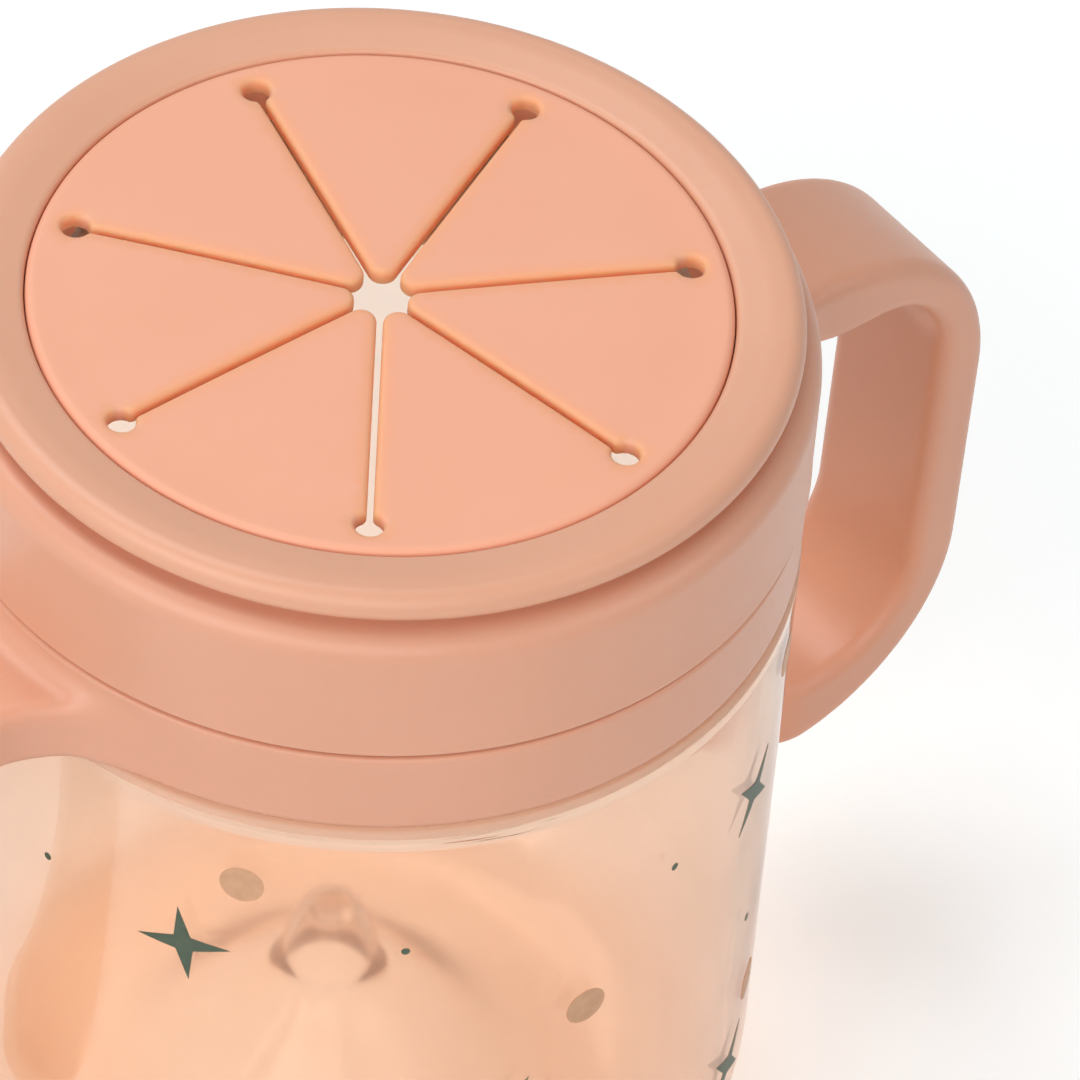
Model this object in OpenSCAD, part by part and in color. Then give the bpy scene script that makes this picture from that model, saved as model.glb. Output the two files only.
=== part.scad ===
// Toddler snack container: a clear blown cup with a two-handled collar, a screw lid
// and a soft slit insert that a small hand pushes through.
// The cup stands on z = 0, its axis is Z, and the handles reach out along +X and -X.

/* [Cup] */
// Outer radius that the side of the whole container would have at the table
side_r = 38.75; // [37:0.25:42]
// How much the side draws in for each millimetre of height
side_draft = 0.01; // [0:0.002:0.015]
// Wall thickness of the blown cup
cup_wall = 2; // [1.6:0.1:2.4]
// Height of the shoulder that the handle collar rests on
shoulder_z = 74.7; // [68:0.1:90]
// Outer radius of the neck that the collar and the lid go over
neck_r = 34.4; // [34:0.1:34.4]
// Outer radius of the rounding between the wall and the base
base_round = 15; // [10:0.5:17]
// Height of the pushed-up base beside its middle, measured underneath
punt_h = 10.8; // [6:0.1:13]
// Radius of the small dome that the moulding gate leaves in the middle of the base
gate_dome_r = 6; // [4:0.25:7]

/* [Handle collar] */
// Height of the collar
collar_h = 9.1; // [7:0.1:12]
// Width of a handle strap
strap_w = 14.8; // [10:0.2:16]
// Thickness of a handle strap
strap_t = 6.4; // [5:0.1:7]
// Distance from the axis to the middle of the upright grip
grip_reach = 63.5; // [60:0.5:70]
// Radius of the upper bend, at the middle of the strap
upper_bend_r = 17.2; // [12:0.2:18]
// Radius of the lower bend, at the middle of the strap
lower_bend_r = 15.6; // [8:0.2:16]
// Length of the straight grip between the two bends
grip_l = 22.4; // [18:0.2:34]
// Distance from the axis to the rounded free end of a handle
handle_tip_x = 40; // [39.5:0.5:48]

/* [Lid] */
// Height of the screw skirt
skirt_h = 13.1; // [11:0.1:16]
// Height of the open groove between the skirt and the top ring
groove_h = 1.1; // [0.8:0.1:1.6]
// Height of the top ring's outer edge
ring_h = 2.6; // [2.4:0.1:3.4]
// Outer radius of the top ring
ring_r = 36; // [35.5:0.1:36.4]
// Inner radius of the top ring, round the insert
ring_bore_r = 30.15; // [30:0.05:30.5]

/* [Insert] */
// Thickness of the soft disc
disc_t = 1.2; // [1:0.1:1.6]
// Width of a slit
slit_w = 0.7; // [0.5:0.05:0.9]
// Radius of the circle that the slits' end holes lie on
hole_circle_r = 26.8; // [25:0.1:26.9]
// Radius of the round hole at the end of a slit
hole_r = 1.1; // [0.8:0.05:1.15]
// Distance from the axis to the rounded tip of a flap
flap_tip_r = 1.9; // [1.5:0.1:3]
// Direction of the first slit, in degrees from +X
first_slit = 179; // [170:1:190]

/* [Hidden] */
$fn = 96;

// Air left between pieces that move past each other
gap = 0.3;
// Steps in a full turn of the arcs that profiles are drawn with
arc_steps = 64;
// Slits in the insert, and flaps between them
slit_count = 7;

// Heights, from the shoulder up
collar_z = shoulder_z + gap;
skirt_z = collar_z + collar_h + gap;
skirt_top_z = skirt_z + skirt_h;
ring_z = skirt_top_z + groove_h;
top_z = ring_z + ring_h;
disc_top_z = top_z - 0.8;
disc_z = disc_top_z - disc_t;

// Lid: the deck that caps the skirt, and the plug that presses the top ring into it
deck_t = 2.8;
deck_z = skirt_top_z - deck_t;
deck_bore_r = 33.2;
skirt_bore_r = neck_r + 0.8;
plug_t = 1.3;
plug_z = skirt_top_z - 0.9;
upstand_r = 34.5;
ring_plate_t = 2;
snap_r = 0.35;

// Insert: its wall stands inside the top ring, its flange lies on the cup's rim
insert_r = ring_bore_r - gap;
insert_wall = 1.65;
flange_z = deck_z;
flange_top_z = plug_z - gap;
flange_r = deck_bore_r - gap;

// Cup
rim_z = flange_z - gap;
neck_wall = 2.6;
foot_r = 23;
foot_w = 2.4;
shoulder_round = 1.2;

// Insert hinge lines: one chord between each two neighbouring holes
half_step = 180 / slit_count;
hinge_d = hole_circle_r * cos(half_step);
hinge_half_l = hole_circle_r * sin(half_step) - hole_r;
hinge_clearance = 0.15;

// Outer radius of the container's side at a height
function side_at(z) = side_r - side_draft * z;

// Points of an arc about (cx, cy), from angle a to angle b
function arc(cx, cy, r, a, b) =
    let (n = max(2, ceil(abs(b - a) / 360 * arc_steps)))
    [for (i = [0:n]) let (t = a + (b - a) * i / n) [cx + r * cos(t), cy + r * sin(t)]];

// Rectangle with rounded corners, centred
function round_rect(w, h, r) = concat(
    arc(w / 2 - r, -h / 2 + r, r, -90, 0),
    arc(w / 2 - r, h / 2 - r, r, 0, 90),
    arc(-w / 2 + r, h / 2 - r, r, 90, 180),
    arc(-w / 2 + r, -h / 2 + r, r, 180, 270));

// Height of the base's underside: a push-up that rises smoothly from the foot, and the gate dome.
// The floor above it also has the flat-topped nub that the gate leaves
gate_rise = 3.6;
gate_nub_r = 2.2;
gate_nub_h = 0.6;
base_steps = 24;
function dome(r, radius, rise) = r < radius ? rise * pow(cos(90 * r / radius), 2) : 0;
function base_z(r) = dome(r, foot_r, punt_h) + dome(r, gate_dome_r, gate_rise);
function floor_z(r) = cup_wall + base_z(r);

// Outer outline of the cup, from the middle of the base up to the rim
function cup_outside() = concat(
    [for (i = [0:base_steps]) let (r = foot_r * i / base_steps) [r, base_z(r)]],
    [[foot_r + foot_w, 0]],
    arc(side_at(base_round) - base_round, base_round, base_round, -70, 0),
    arc(side_at(shoulder_z) - shoulder_round, shoulder_z - shoulder_round, shoulder_round, 0, 90),
    [[neck_r, shoulder_z]],
    arc(neck_r - 0.8, rim_z - 0.8, 0.8, 0, 90));

// Inner outline, from the rim down to the middle of the floor
inner_round = base_round - cup_wall;
function cup_inside() = concat(
    arc(neck_r - neck_wall + 0.6, rim_z - 0.6, 0.6, 90, 180),
    [[neck_r - neck_wall, shoulder_z + 1]],
    [[side_at(shoulder_z) - cup_wall, shoulder_z - 4.5]],
    arc(side_at(base_round) - base_round, base_round, inner_round, 0, -70),
    [[foot_r + foot_w, cup_wall]],
    [for (i = [base_steps:-1:0]) let (r = foot_r * i / base_steps)
        if (r > gate_nub_r + 0.4) [r, floor_z(r)]],
    [[gate_nub_r + 0.4, floor_z(gate_nub_r + 0.4)],
     [gate_nub_r, floor_z(0) + gate_nub_h - 0.4],
     [gate_nub_r - 0.4, floor_z(0) + gate_nub_h],
     [0, floor_z(0) + gate_nub_h]]);

module cup() {
    color([0.93, 0.72, 0.58, 0.5])
        rotate_extrude() polygon(concat(cup_outside(), cup_inside()));
}

// Handle path, in the XZ plane
strap_z = collar_z + 0.4 + strap_t / 2;
upper_bend = [grip_reach - upper_bend_r, strap_z - upper_bend_r];
lower_bend = [grip_reach - lower_bend_r, upper_bend[1] - grip_l];
foot_strap_z = lower_bend[1] - lower_bend_r;
tip_centre_x = handle_tip_x + strap_w / 2;
strap_edge_r = 1.8;
root_round = 5;
collar_bore_r = neck_r + 0.5;

// A straight stretch of strap that runs along +X from the origin
module strap_run(l) {
    rotate([90, 0, 90])
        linear_extrude(l) polygon(round_rect(strap_w, strap_t, strap_edge_r));
}

// A quarter bend of strap in the XZ plane, about the origin, from the given angle on
module strap_bend(r, from) {
    rotate([90, 0, 0]) rotate([0, 0, from])
        rotate_extrude(angle = 90)
            translate([r, 0]) polygon(round_rect(strap_t, strap_w, strap_edge_r));
}

// The root of a strap seen from above: it flares into the round collar with a fillet on each side
module strap_root() {
    root_x = neck_r + 1.4;
    collar_r = side_at(collar_z);
    corner_y = strap_w / 2 + root_round;
    corner_x = sqrt(pow(collar_r + root_round, 2) - pow(corner_y, 2));
    turn = atan2(corner_y, corner_x);
    flare_y = collar_r * sin(turn);
    web_h = strap_t - 2 * strap_edge_r / 3;
    translate([0, 0, strap_z - web_h / 2])
        linear_extrude(web_h)
            polygon(concat(
                arc(corner_x, corner_y, root_round, 180 + turn, 270),
                arc(corner_x, -corner_y, root_round, 90, 180 - turn),
                [[root_x, -flare_y], [root_x, flare_y]]));
}

// The hollow corner between the top of a strap and the collar's face
module strap_crest() {
    crest_r = 2;
    crest_x = side_at(collar_z);
    crest_z = strap_z + strap_t / 2;
    crest_w = strap_w - 2 * strap_edge_r;
    translate([0, crest_w / 2, 0]) rotate([90, 0, 0])
        linear_extrude(crest_w)
            polygon(concat(
                arc(crest_x + crest_r, crest_z + crest_r, crest_r, 180, 270),
                [[crest_x - 1, crest_z], [crest_x - 1, crest_z + crest_r]]));
}

// One handle, on the +X side: a strap that leaves the collar, turns down and curls back in
module handle() {
    translate([neck_r + 1.4, 0, strap_z]) strap_run(upper_bend[0] - neck_r - 1.4);
    strap_root();
    strap_crest();
    translate([upper_bend[0], 0, upper_bend[1]]) strap_bend(upper_bend_r, 0);
    translate([grip_reach, 0, lower_bend[1]]) rotate([0, -90, 0]) strap_run(grip_l);
    translate([lower_bend[0], 0, lower_bend[1]]) strap_bend(lower_bend_r, -90);
    translate([tip_centre_x, 0, foot_strap_z]) {
        strap_run(lower_bend[0] - tip_centre_x);
        rotate([0, 0, 90]) rotate_extrude(angle = 180)
            intersection() {
                polygon(round_rect(strap_w, strap_t, strap_edge_r));
                translate([0, -strap_t]) square([strap_w, 2 * strap_t]);
            }
    }
}

module handle_collar() {
    edge = 0.4;
    top = collar_z + collar_h;
    color([0.87, 0.62, 0.5]) {
        rotate_extrude()
            polygon(concat(
                [[collar_bore_r, collar_z]],
                arc(side_at(collar_z) - edge, collar_z + edge, edge, -90, 0),
                arc(side_at(top) - edge, top - edge, edge, 0, 90),
                [[collar_bore_r, top]]));
        handle();
        rotate([0, 0, 180]) handle();
    }
}

module screw_ring() {
    top_round = 1.3;
    edge = 0.3;
    color([0.87, 0.64, 0.53])
        rotate_extrude()
            difference() {
                polygon(concat(
                    [[skirt_bore_r, skirt_z]],
                    arc(side_at(skirt_z) - edge, skirt_z + edge, edge, -90, 0),
                    arc(side_at(skirt_top_z) - top_round, skirt_top_z - top_round, top_round, 0, 90),
                    [[upstand_r, skirt_top_z],
                     [upstand_r, top_z - ring_plate_t],
                     [deck_bore_r, top_z - ring_plate_t],
                     [deck_bore_r, deck_z],
                     [skirt_bore_r, deck_z]]));
                translate([deck_bore_r, plug_z + 0.8]) circle(snap_r);
            }
}

module top_ring() {
    rise = 0.6;
    outer_round = 1.8;
    inner_round = 0.5;
    lower_round = 0.4;
    plate_z = top_z - ring_plate_t;
    color([0.9, 0.67, 0.56])
        rotate_extrude() {
            polygon(concat(
                arc(ring_r - lower_round, ring_z + lower_round, lower_round, -90, 0),
                arc(ring_r - outer_round, top_z - outer_round, outer_round, 0, 90),
                arc(ring_bore_r + inner_round, top_z - rise - inner_round, inner_round, 90, 180),
                [[ring_bore_r, plate_z - 0.8],
                 [deck_bore_r - plug_t, plate_z - 0.8],
                 [deck_bore_r - plug_t, plug_z],
                 [deck_bore_r, plug_z],
                 [deck_bore_r, plate_z],
                 [upstand_r + 0.1, plate_z],
                 [upstand_r + 0.1, ring_z]]));
            translate([deck_bore_r - 0.05, plug_z + 0.8]) circle(snap_r - 0.05);
        }
}

// The soft disc in plan, outside the hinge chords, with the slits' end holes open
module rim_plan() {
    difference() {
        circle(insert_r - 0.2);
        circle(hinge_d / cos(half_step), $fn = slit_count);
    }
}

// Cuts the socket that one flap's rounded root turns in, along +X from the axis
module hinge_socket() {
    translate([hinge_d, 0, disc_z + disc_t / 2]) rotate([90, 0, 0])
        cylinder(h = 2 * hinge_half_l + 2 * hole_r, r = disc_t / 2 + hinge_clearance, center = true);
}

module insert_rim() {
    edge = 0.5;
    color([0.95, 0.72, 0.6])
        difference() {
            union() {
                rotate_extrude()
                    polygon(concat(
                        [[insert_r - insert_wall, flange_z], [flange_r, flange_z],
                         [flange_r, flange_top_z], [insert_r, flange_top_z]],
                        arc(insert_r - edge, disc_top_z - edge, edge, 0, 90),
                        [[insert_r - insert_wall, disc_top_z]]));
                translate([0, 0, disc_z]) linear_extrude(disc_t)
                    rotate(first_slit) rim_plan();
            }
            for (i = [0:slit_count - 1])
                rotate(first_slit + 2 * half_step * i) {
                    translate([hole_circle_r, 0, disc_z - 1]) cylinder(h = disc_t + 2, r = hole_r);
                    rotate(half_step) hinge_socket();
                }
        }
}

// Flap outline in plan: a wedge from the hinge chord to the rounded tip, along +X
module flap_plan() {
    tip_round = 0.9;
    // Distance from the axis at which the wedge's two sides would meet
    apex = slit_w / 2 / sin(half_step);
    tip_x = max(flap_tip_r + tip_round, apex + tip_round / sin(half_step));
    side = (tip_x - apex) * sin(half_step);
    corner_y = (hinge_d - apex) * tan(half_step);
    difference() {
        union() {
            polygon([[hinge_d, -corner_y], [hinge_d, corner_y],
                     [tip_x - side * sin(half_step), side * cos(half_step)],
                     [tip_x - side * sin(half_step), -side * cos(half_step)]]);
            translate([tip_x, 0]) circle(side);
        }
        for (turn = [-1, 1])
            rotate(turn * half_step) translate([hole_circle_r, 0]) circle(hole_r);
    }
}

module flap(i) {
    color([0.96, 0.73, 0.61])
        rotate(first_slit + half_step * (2 * i - 1)) {
            translate([0, 0, disc_z]) linear_extrude(disc_t) flap_plan();
            translate([hinge_d, 0, disc_z + disc_t / 2]) rotate([90, 0, 0])
                cylinder(h = 2 * (hinge_half_l - gap), r = disc_t / 2, center = true);
        }
}

cup();
handle_collar();
screw_ring();
top_ring();
insert_rim();
flap(1);  // flap_1
flap(2);  // flap_2
flap(3);  // flap_3
flap(4);  // flap_4
flap(5);  // flap_5
flap(6);  // flap_6
flap(7);  // flap_7
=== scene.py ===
"""Looks of the toddler snack container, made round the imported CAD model.

A clear blown cup, a collar with two strap handles, a screw lid with a broad satin ring and a soft
slit insert. All sizes in the classes are in millimetres, in the frame of the CAD model.
"""
import logging
import math
from dataclasses import dataclass, field
from enum import Enum

import bmesh
import bpy
import numpy as np
from mathutils import Matrix, Vector
from mathutils.geometry import delaunay_2d_cdt


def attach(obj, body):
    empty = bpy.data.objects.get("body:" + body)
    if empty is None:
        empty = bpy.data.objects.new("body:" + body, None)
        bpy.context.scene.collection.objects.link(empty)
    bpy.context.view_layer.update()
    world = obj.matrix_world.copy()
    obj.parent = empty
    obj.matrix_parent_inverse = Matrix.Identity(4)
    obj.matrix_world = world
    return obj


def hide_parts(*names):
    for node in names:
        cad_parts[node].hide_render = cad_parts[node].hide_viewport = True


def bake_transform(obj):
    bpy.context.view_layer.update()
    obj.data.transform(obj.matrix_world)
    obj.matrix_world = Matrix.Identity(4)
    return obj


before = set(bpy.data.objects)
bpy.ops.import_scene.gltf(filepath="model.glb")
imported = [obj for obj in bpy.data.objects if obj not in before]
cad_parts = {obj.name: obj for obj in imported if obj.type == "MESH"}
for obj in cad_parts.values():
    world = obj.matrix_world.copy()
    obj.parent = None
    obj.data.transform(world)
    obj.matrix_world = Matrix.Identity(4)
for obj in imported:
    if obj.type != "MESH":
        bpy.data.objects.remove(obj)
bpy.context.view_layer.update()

LOG = logging.getLogger("snack_container")
MM = 0.001
# share near slits and holes: drives real subsurface light and a painted glow tone
LIP = "lip"
SIDE_R = 38.75  # radius of the side where it would meet the table, in millimetres
DRAFT = 0.01  # how much the side draws in for each millimetre of height
RING_STEPS = 224  # faces in a full turn of a turned piece
CLOUD = (0.3, 0.7)  # the range that a noise texture mostly stays in
ROW_SHARE = 0.866  # distance of rows in a grid of triangles, for a spacing of 1
CLEAR_SHARE = 0.55  # how near an added point may come to an outline, for a spacing of 1

Point2 = tuple[float, float]
Colour = tuple[float, float, float]


# ---------------------------------------------------------------- outlines and plain meshes


@dataclass(frozen=True)
class Corner:
    """A corner of a turned outline: its radius, its height and how far it is rounded."""

    r: float
    z: float
    rounding: float = 0.0


def arc(cx: float, cy: float, radius: float, start: float, end: float, step: float = 5.0) -> list[Point2]:
    """Points along an arc.

    Args:
        cx: Centre, first coordinate.
        cy: Centre, second coordinate.
        radius: Radius of the arc.
        start: First angle in degrees.
        end: Last angle in degrees.
        step: Largest angle between two points, in degrees.

    Returns:
        The points from the first angle to the last.
    """
    count = max(2, math.ceil(abs(end - start) / step))
    angles = [math.radians(start + (end - start) * i / count) for i in range(count + 1)]
    return [(cx + radius * math.cos(a), cy + radius * math.sin(a)) for a in angles]


def rounded(corners: list[Corner], closed: bool = True, step: float = 12.0) -> list[Point2]:
    """An outline whose corners are rounded by arcs.

    Args:
        corners: The corners in order.
        closed: True if the last corner joins the first.
        step: Largest angle between two points of a rounding, in degrees.

    Returns:
        The outline's points.
    """
    points: list[Point2] = []
    last = len(corners) - 1
    for i, corner in enumerate(corners):
        if corner.rounding <= 0 or (not closed and i in (0, last)):
            points.append((corner.r, corner.z))
            continue
        here = Vector((corner.r, corner.z))
        before = Vector((corners[i - 1].r, corners[i - 1].z)) - here
        after = Vector((corners[(i + 1) % len(corners)].r, corners[(i + 1) % len(corners)].z)) - here
        before.normalize()
        after.normalize()
        half = before.angle(after) / 2
        centre = here + (before + after).normalized() * (corner.rounding / math.sin(half))
        along = corner.rounding / math.tan(half)
        first = (here + before * along) - centre
        final = (here + after * along) - centre
        a = math.atan2(first.y, first.x)
        turn = (math.atan2(final.y, final.x) - a + math.pi) % (2 * math.pi) - math.pi
        count = max(2, math.ceil(math.degrees(abs(turn)) / step))
        for k in range(count + 1):
            t = a + turn * k / count
            x = centre.x + corner.rounding * math.cos(t)
            points.append((x, centre.y + corner.rounding * math.sin(t)))
    return points


def supported(points: list[Point2], closed: bool, near: float = 0.12, longest: float = 4.0) -> list[Point2]:
    """Adds points close to both ends of long straights, so that smooth shading keeps them flat.

    Args:
        points: The outline.
        closed: True if the last point joins the first.
        near: Distance of the added points from the ends.
        longest: Longest stretch left without a point.

    Returns:
        The outline with the added points.
    """
    made: list[Point2] = []
    pairs = list(zip(points, points[1:] + points[:1])) if closed else list(zip(points, points[1:]))
    for (ax, ay), (bx, by) in pairs:
        made.append((ax, ay))
        length = math.hypot(bx - ax, by - ay)
        if length < 5 * near:
            continue
        shares = [near / length]
        pieces = max(1, math.ceil((length - 2 * near) / longest))
        shares += [(near + (length - 2 * near) * k / pieces) / length for k in range(1, pieces)]
        shares.append(1 - near / length)
        made += [(ax + (bx - ax) * s, ay + (by - ay) * s) for s in shares]
    if not closed:
        made.append(points[-1])
    return made


def mesh_object(name: str, points: np.ndarray, faces: list, sharp: float = 50.0) -> bpy.types.Object:
    """A smooth-shaded mesh object at the origin.

    Args:
        name: Name of the piece.
        points: Vertices in millimetres, one row each.
        faces: Lists of vertex numbers, counter-clockwise seen from outside.
        sharp: Edges that turn by more than this, in degrees, stay sharp.

    Returns:
        The object, linked to the scene.
    """
    mesh = bpy.data.meshes.new(name)
    mesh.from_pydata((np.asarray(points, float) * MM).tolist(), [], [list(map(int, f)) for f in faces])
    mesh.validate()
    mesh.shade_smooth()
    mesh.set_sharp_from_angle(angle=math.radians(sharp))
    made = bpy.data.objects.new(name, mesh)
    bpy.context.scene.collection.objects.link(made)
    return made


def turned(name: str, outline: list[Point2], closed: bool = True,
           steps: int = RING_STEPS) -> bpy.types.Object:
    """Turns an outline round Z.

    Args:
        name: Name of the piece.
        outline: Points (radius, height), counter-clockwise with the radius to the right.
        closed: True for a ring; False for an outline that starts and ends on the axis.
        steps: Faces in a full turn.

    Returns:
        The closed solid.
    """
    angles = np.arange(steps) * 2 * math.pi / steps
    points: list[tuple[float, float, float]] = []
    rows: list[list[int]] = []
    for r, z in outline:
        first = len(points)
        if r < 1e-6:
            points.append((0.0, 0.0, z))
            rows.append([first] * steps)
        else:
            points += [(r * math.cos(a), r * math.sin(a), z) for a in angles]
            rows.append(list(range(first, first + steps)))
    faces: list[list[int]] = []
    pairs = zip(rows, rows[1:] + rows[:1]) if closed else zip(rows, rows[1:])
    for low, high in pairs:
        for j in range(steps):
            k = (j + 1) % steps
            face = [low[j], low[k], high[k], high[j]]
            faces.append([v for n, v in enumerate(face) if v not in face[:n]])
    return mesh_object(name, np.array(points), [f for f in faces if len(f) > 2])


def graded(stops: list[tuple[float, float]]) -> np.ndarray:
    """Grid lines whose spacing changes smoothly.

    Args:
        stops: Places in order, each with the spacing wanted there.

    Returns:
        The places of the grid lines, from the first stop to the last.
    """
    places = [stops[0][0]]
    at = [s[0] for s in stops]
    spacing = [s[1] for s in stops]
    while places[-1] < at[-1]:
        places.append(places[-1] + float(np.interp(places[-1], at, spacing)))
    made = np.array(places)
    return stops[0][0] + (made - made[0]) * (at[-1] - at[0]) / (made[-1] - made[0])


def surface_net(depth: np.ndarray) -> tuple[np.ndarray, np.ndarray]:
    """Quads round the solid where depth is negative. The first axis of the grid wraps round.

    Args:
        depth: The solid's function at the grid points.

    Returns:
        Vertices in grid coordinates, and quads whose outside is the solid's if the axes are right-handed.
    """
    n0, n1, n2 = depth.shape
    ahead = np.roll(depth, -1, axis=0)
    corner = {}
    for a, source in ((0, depth), (1, ahead)):
        for b in (0, 1):
            for c in (0, 1):
                corner[a, b, c] = source[:, b:n1 - 1 + b, c:n2 - 1 + c]
    count = sum((v < 0).astype(np.int8) for v in corner.values())
    active = (count > 0) & (count < 8)
    number = np.full(active.shape, -1, np.int64)
    number[active] = np.arange(int(active.sum()))
    cells = np.argwhere(active).astype(float)
    values = {key: v[active].astype(float) for key, v in corner.items()}
    total = np.zeros_like(cells)
    crossings = np.zeros(len(cells))
    for key, value in values.items():
        for axis in range(3):
            if key[axis]:
                continue
            other = tuple(1 if k == axis else v for k, v in enumerate(key))
            crosses = (value < 0) != (values[other] < 0)
            share = value[crosses] / (value[crosses] - values[other][crosses])
            point = np.repeat(np.array([key], float), len(share), axis=0)
            point[:, axis] += share
            total[crosses] += point
            crossings[crosses] += 1
    points = cells + total / crossings[:, None]
    quads = []
    inside = depth < 0
    for axis in range(3):
        if axis == 0:
            changes = (inside != np.roll(inside, -1, axis=0))[:, 1:n1 - 1, 1:n2 - 1]
            index = np.argwhere(changes) + (0, 1, 1)
            steps = ((0, -1, -1), (0, 0, -1), (0, 0, 0), (0, -1, 0))
        elif axis == 1:
            changes = (inside[:, :-1] != inside[:, 1:])[:, :, 1:n2 - 1]
            index = np.argwhere(changes) + (0, 0, 1)
            steps = ((-1, 0, -1), (-1, 0, 0), (0, 0, 0), (0, 0, -1))
        else:
            changes = (inside[:, :, :-1] != inside[:, :, 1:])[:, 1:n1 - 1]
            index = np.argwhere(changes) + (0, 1, 0)
            steps = ((-1, -1, 0), (0, -1, 0), (0, 0, 0), (-1, 0, 0))
        start = inside[tuple(index.T)]
        around = []
        for step in steps:
            cell = index + step
            around.append(number[cell[:, 0] % n0, cell[:, 1], cell[:, 2]])
        quad = np.stack(around, axis=1)
        quad[~start] = quad[~start][:, ::-1]
        quads.append(quad)
    return points, np.concatenate(quads)


def inside_loops(x: np.ndarray, y: np.ndarray, loops: list[np.ndarray]) -> np.ndarray:
    """True for the points that lie inside an odd number of the loops' turns.

    Args:
        x: First coordinates of the points.
        y: Second coordinates of the points.
        loops: Closed loops, one row for each point.

    Returns:
        One truth value for each point.
    """
    odd = np.zeros(len(x), bool)
    for loop in loops:
        for (ax, ay), (bx, by) in zip(loop, np.roll(loop, -1, axis=0)):
            crosses = (ay > y) != (by > y)
            if crosses.any():
                odd ^= crosses & (x < (bx - ax) * (y - ay) / (by - ay + 1e-30) + ax)
    return odd


def away_from(points: np.ndarray, line: np.ndarray) -> np.ndarray:
    """Distance of points in plan from an open line.

    Args:
        points: The points, one row each.
        line: The line's points, one row each.

    Returns:
        One distance for each point.
    """
    start = line[None, :-1]
    along = line[None, 1:] - start
    share = ((points[:, None] - start) * along).sum(axis=2) / np.maximum((along ** 2).sum(axis=2), 1e-12)
    nearest = start + along * np.clip(share, 0, 1)[..., None]
    return np.linalg.norm(points[:, None] - nearest, axis=2).min(axis=1)


@dataclass
class Draft:
    """A mesh in the making, whose rings of points are joined by walls and filled by flat faces."""

    points: list = field(default_factory=list)
    faces: list = field(default_factory=list)

    def ring(self, xy: np.ndarray, z: float) -> np.ndarray:
        """Adds a ring of points at one height and returns their numbers."""
        first = len(self.points)
        self.points += [(float(x), float(y), float(z)) for x, y in xy]
        return np.arange(first, len(self.points))

    def wall(self, low: np.ndarray, high: np.ndarray) -> None:
        """Joins two rings that run counter-clockwise with a wall that faces away from the axis."""
        for i in range(len(low)):
            k = (i + 1) % len(low)
            self.faces.append((low[i], low[k], high[k], high[i]))

    def fill(self, rings: list[np.ndarray], spacing: float, up: bool) -> None:
        """Fills the flat space between rings at one height with triangles.

        Args:
            rings: The numbers of each ring's points.
            spacing: Distance between the points added inside.
            up: True if the faces look up.
        """
        loops = [np.array([self.points[v][:2] for v in ring]) for ring in rings]
        z = self.points[rings[0][0]][2]
        numbers = [int(v) for ring in rings for v in ring]
        flat = np.concatenate(loops)
        low, high = flat.min(0), flat.max(0)
        rows = np.arange(low[1] + spacing / 3, high[1], spacing * ROW_SHARE)
        columns = np.arange(low[0] + spacing / 3, high[0], spacing)
        grid = np.array([(c + (spacing / 2 if n % 2 else 0), r) for n, r in enumerate(rows) for c in columns])
        kept = grid[inside_loops(grid[:, 0], grid[:, 1], loops)]
        if len(kept):
            gaps = kept[:, None] - flat
            apart = np.hypot(gaps[..., 0], gaps[..., 1]).min(axis=1)
            kept = kept[apart > CLEAR_SHARE * spacing]
        first = len(self.points)
        self.points += [(float(x), float(y), z) for x, y in kept]
        numbers += range(first, first + len(kept))
        edges = []
        start = 0
        for loop in loops:
            edges += [(start + i, start + (i + 1) % len(loop)) for i in range(len(loop))]
            start += len(loop)
        out_low, out_high = low - 50, high + 50
        far = [(out_low[0], out_low[1]), (out_high[0], out_low[1]), (out_high[0], out_high[1]),
               (out_low[0], out_high[1])]
        every = [Vector((float(x), float(y))) for x, y in np.concatenate([flat, kept.reshape(-1, 2), far])]
        made = delaunay_2d_cdt(every, edges, [], 0, 1e-6, True)
        source = [origin[0] for origin in made[3]]
        triangles = np.array([f for f in made[2] if max(source[v] for v in f) < len(numbers)])
        places = np.array([tuple(v) for v in made[0]])
        middle = places[triangles].mean(axis=1)
        for face, keep in zip(triangles, inside_loops(middle[:, 0], middle[:, 1], loops)):
            if keep:
                a, b, c = (numbers[source[v]] for v in face)
                self.faces.append((a, b, c) if up else (c, b, a))


def polar(r: float, angles: np.ndarray) -> np.ndarray:
    """Points at one radius and several angles, in radians."""
    return np.stack([r * np.cos(angles), r * np.sin(angles)], axis=1)


def turned_xy(xy: np.ndarray, degrees: float) -> np.ndarray:
    """Points turned about the axis."""
    a = math.radians(degrees)
    return xy @ np.array([[math.cos(a), math.sin(a)], [-math.sin(a), math.cos(a)]])


# ---------------------------------------------------------------- node helpers


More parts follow.
